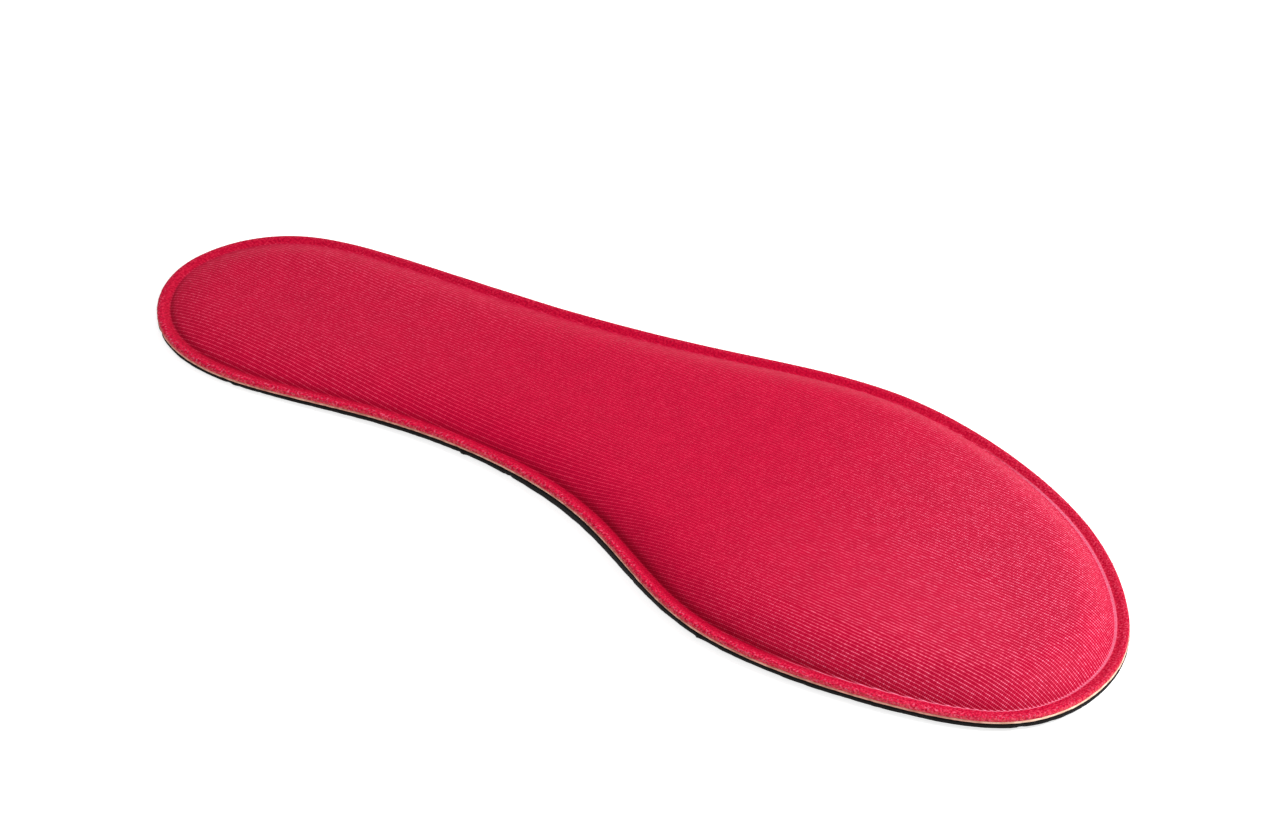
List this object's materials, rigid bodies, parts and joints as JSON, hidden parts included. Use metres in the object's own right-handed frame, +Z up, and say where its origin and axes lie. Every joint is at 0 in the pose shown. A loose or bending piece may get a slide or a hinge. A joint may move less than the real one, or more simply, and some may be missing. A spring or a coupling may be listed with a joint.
{
  "type": "cushioned insole",
  "caption": "Left-foot cushioned shoe insole: a soft foam pillow, thicker toward the toe, under a knit cover, on a firm foam base with a thin pressed rim.",
  "frame": {"origin": "under the middle of the insole's bounding box, on the surface it lies on", "axes": "+X from heel to toe, +Y to the outer (little-toe) side of the left foot, +Z up through the fabric side"},
  "size_m": [0.2704, 0.0992, 0.0092],
  "materials": {
    "base_foam": "matte",
    "base_film": "satin",
    "core_foam": "matte",
    "cover_film": "satin",
    "knit_cover": "matte"
  },
  "bodies": {
    "root": {"base_sheet": "base_foam", "base_adhesive": "base_film", "cushion_core": "core_foam", "cover_adhesive": "cover_film", "top_cover": "knit_cover"}
  },
  "joints": []
}
